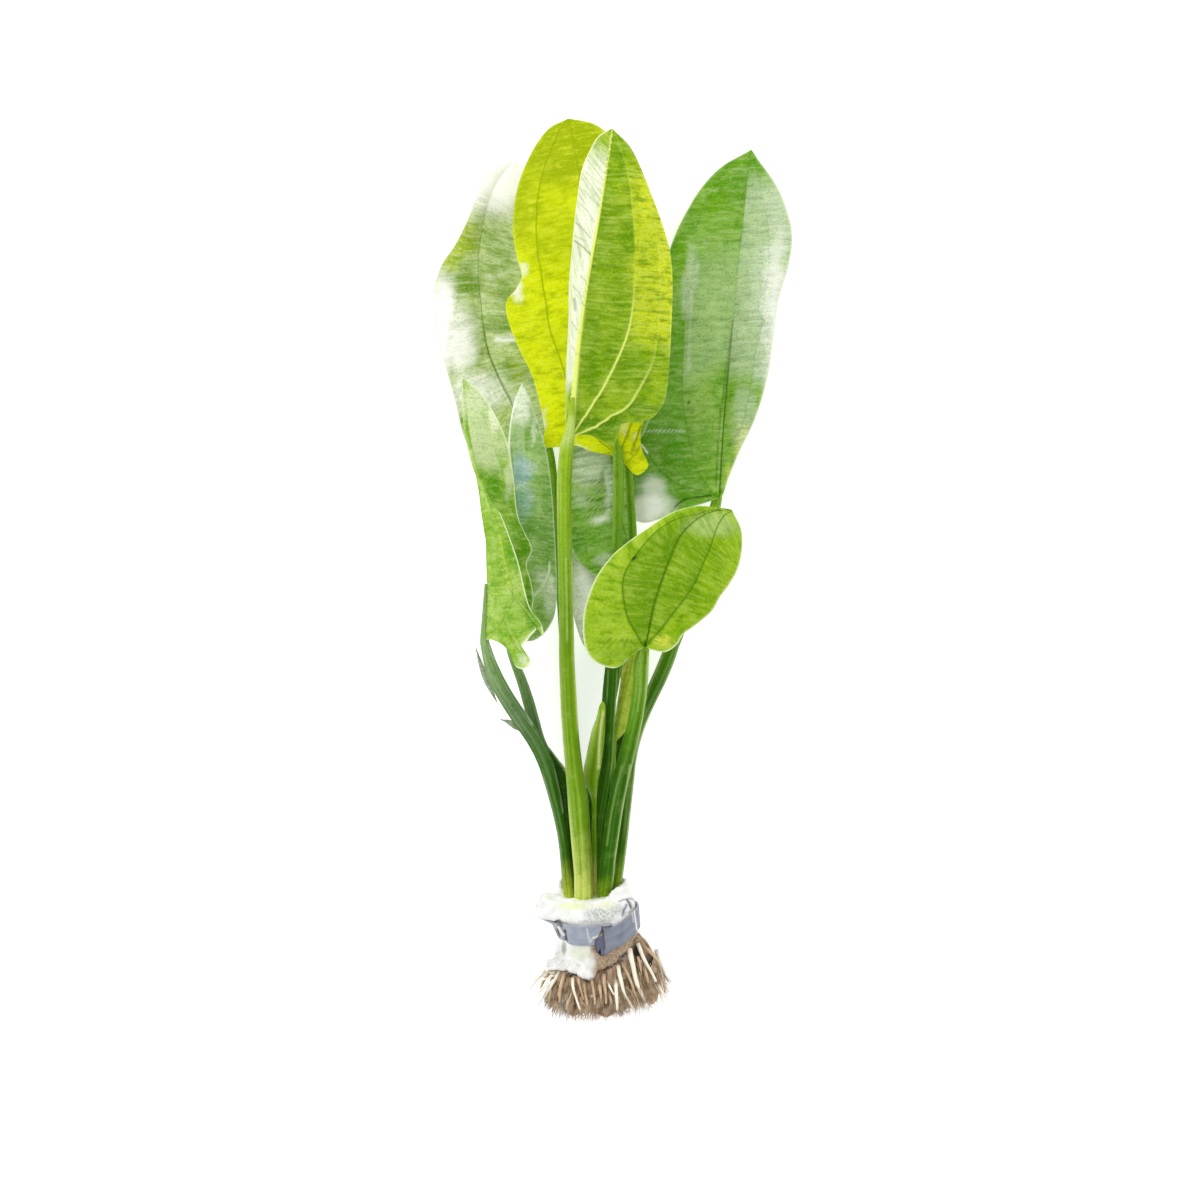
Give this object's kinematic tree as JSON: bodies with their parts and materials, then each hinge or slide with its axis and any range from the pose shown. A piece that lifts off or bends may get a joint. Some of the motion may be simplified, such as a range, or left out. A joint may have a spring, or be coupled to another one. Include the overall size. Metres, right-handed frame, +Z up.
{
  "type": "echinodorus plant",
  "caption": "Bare-root Echinodorus water plant lying on its back: long-stalked leaves from a crown wrapped in foam and a metal weight strip, with its roots hanging out below.",
  "frame": {"origin": "centre of the plant's outline, on the surface that it lies on", "axes": "+Y from the roots to the leaf tips, +Z up from the surface, +X to the plant's right as seen from above"},
  "size_m": [0.1684, 0.4096, 0.0884],
  "materials": {
    "leaf_green": "satin",
    "leaf_yellow": "satin",
    "leaf_pale": "satin",
    "leaf_deep": "satin",
    "stem_green": "satin",
    "stem_light": "satin",
    "foam": "matte",
    "strip": "satin",
    "root": "matte"
  },
  "bodies": {
    "root": {"front_leaf": "leaf_green", "yellow_leaf": "leaf_yellow", "back_left_leaf": "leaf_pale", "back_right_leaf": "leaf_green", "folded_leaf": "leaf_green", "inner_leaf": "leaf_pale", "small_leaf": "leaf_green", "middle_leaf": "leaf_pale", "hidden_leaf": "leaf_deep", "low_leaf": "leaf_pale", "young_leaf": "leaf_yellow", "front_stem": "stem_light", "yellow_stem": "stem_light", "back_left_stem": "stem_green", "back_right_stem": "stem_green", "folded_stem": "stem_green", "inner_stem": "stem_green", "small_stem": "stem_green", "middle_stem": "stem_green", "hidden_stem": "stem_green", "low_stem": "stem_green", "young_stem": "stem_light", "new_shoot": "stem_light", "foam_wrap": "foam", "weight_strip": "strip", "root_ball": "root"}
  },
  "joints": []
}
